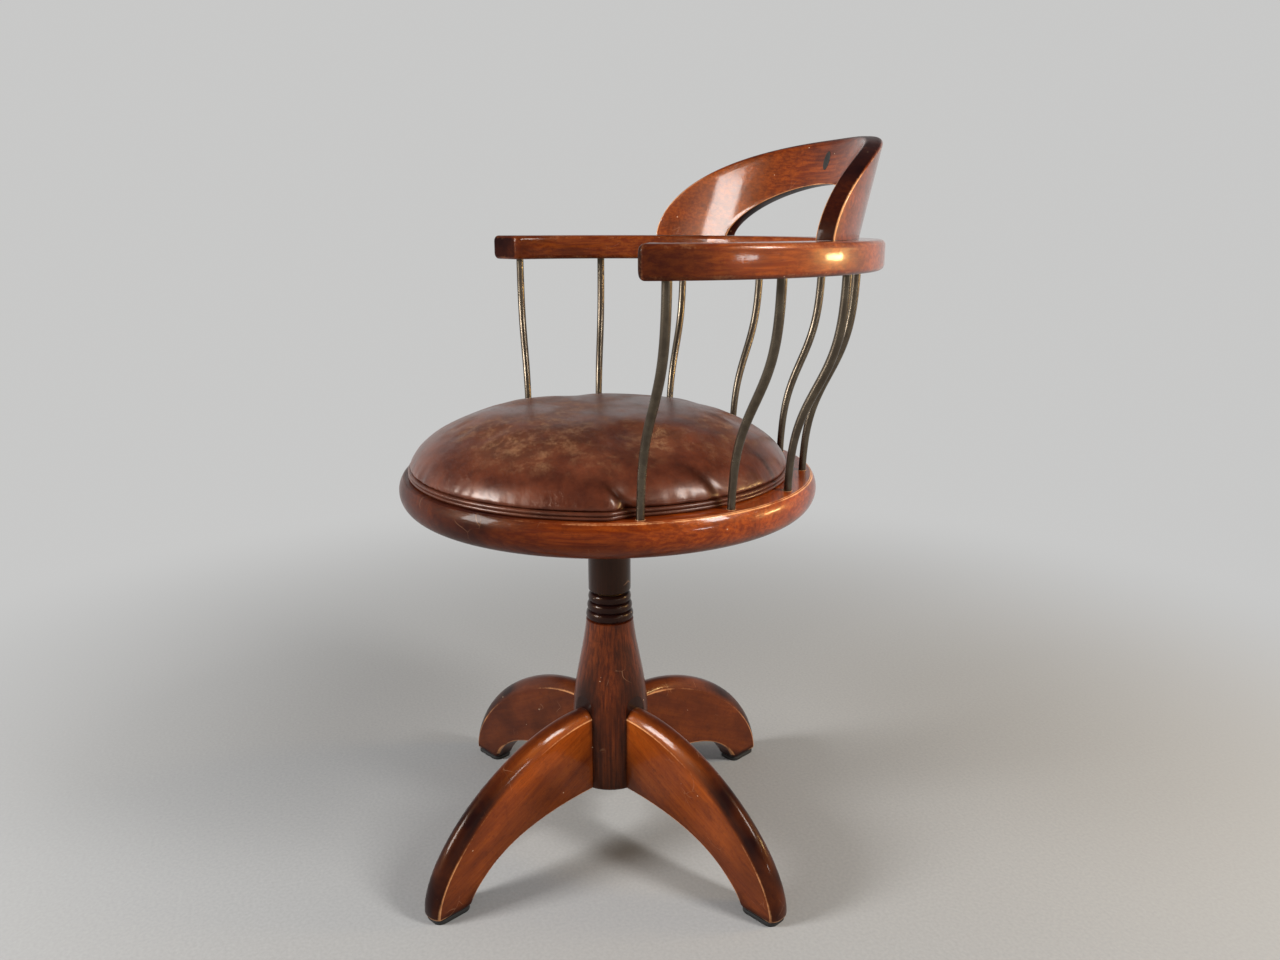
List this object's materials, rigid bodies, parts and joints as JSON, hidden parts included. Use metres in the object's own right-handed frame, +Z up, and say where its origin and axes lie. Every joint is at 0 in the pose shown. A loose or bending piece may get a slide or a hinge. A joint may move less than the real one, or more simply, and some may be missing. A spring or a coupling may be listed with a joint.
{
  "type": "bankers swivel chair",
  "caption": "Wooden swivel armchair: turned column on arched legs, round cushioned seat, curved metal spindles and a horseshoe arm bow under an arched crest with a hand hole",
  "frame": {"origin": "middle of the chair's box, at floor level; the swivel axis stands 21.8 mm in front of it (at -Y)", "axes": "+Z is up and the longest extent, the sitter faces -Y, and the arm nearest the camera in the picture is at +X"},
  "size_m": [0.58, 0.5298, 0.8112],
  "materials": {
    "polished_mahogany": "glossy reddish-brown polish with worn edges",
    "beech": "bare",
    "brown_leather": "aged, semi-gloss, scuffed on the crown",
    "aged_bronze": "dark aged bronze, satin",
    "bush_bronze": "plain bearing bronze",
    "bright_steel": "bright",
    "black_iron": "black painted",
    "brass": "satin",
    "foot_pads": "matt black",
    "dark_plug": "dark greenish black"
  },
  "bodies": {
    "base": {"column": "polished_mahogany", "leg_1": "polished_mahogany", "leg_2": "polished_mahogany", "leg_3": "polished_mahogany", "leg_4": "polished_mahogany", "foot_pad_1": "foot_pads", "foot_pad_2": "foot_pads", "foot_pad_3": "foot_pads", "foot_pad_4": "foot_pads", "leg_dowel_1_lower": "beech", "leg_dowel_1_upper": "beech", "leg_dowel_2_lower": "beech", "leg_dowel_2_upper": "beech", "leg_dowel_3_lower": "beech", "leg_dowel_3_upper": "beech", "leg_dowel_4_lower": "beech", "leg_dowel_4_upper": "beech", "upper_bush": "bush_bronze", "lower_bush": "bush_bronze", "thrust_washer": "bush_bronze", "bottom_cover": "black_iron", "cover_screw_1": "brass", "cover_screw_2": "brass", "cover_screw_3": "brass"},
    "seat": {"stem": "bright_steel", "stem_washer": "bright_steel", "stem_nut": "bright_steel", "collar": "polished_mahogany", "seat_plate": "black_iron", "plate_screw_1": "bright_steel", "plate_screw_2": "bright_steel", "plate_screw_3": "bright_steel", "plate_screw_4": "bright_steel", "seat_ring": "polished_mahogany", "seat_board": "beech", "cushion": "brown_leather", "welt": "brown_leather", "spindle_1": "aged_bronze", "spindle_2": "aged_bronze", "spindle_3": "aged_bronze", "spindle_4": "aged_bronze", "spindle_5": "aged_bronze", "spindle_6": "aged_bronze", "spindle_7": "aged_bronze", "spindle_8": "aged_bronze", "spindle_9": "aged_bronze", "arm_right": "polished_mahogany", "arm_left": "polished_mahogany", "back_rail": "polished_mahogany", "bow_dowel_right": "beech", "bow_dowel_left": "beech", "crest": "polished_mahogany", "crest_plug": "dark_plug", "crest_screw_1": "bright_steel", "crest_screw_2": "bright_steel", "crest_screw_3": "bright_steel", "crest_screw_4": "bright_steel"}
  },
  "joints": [
    {"name": "seat_swivel", "type": "hinge", "parent": "base", "child": "seat", "pos_m": [0, -0.02178, 0.3085], "axis": [0, 0, 1], "continuous": true}
  ]
}
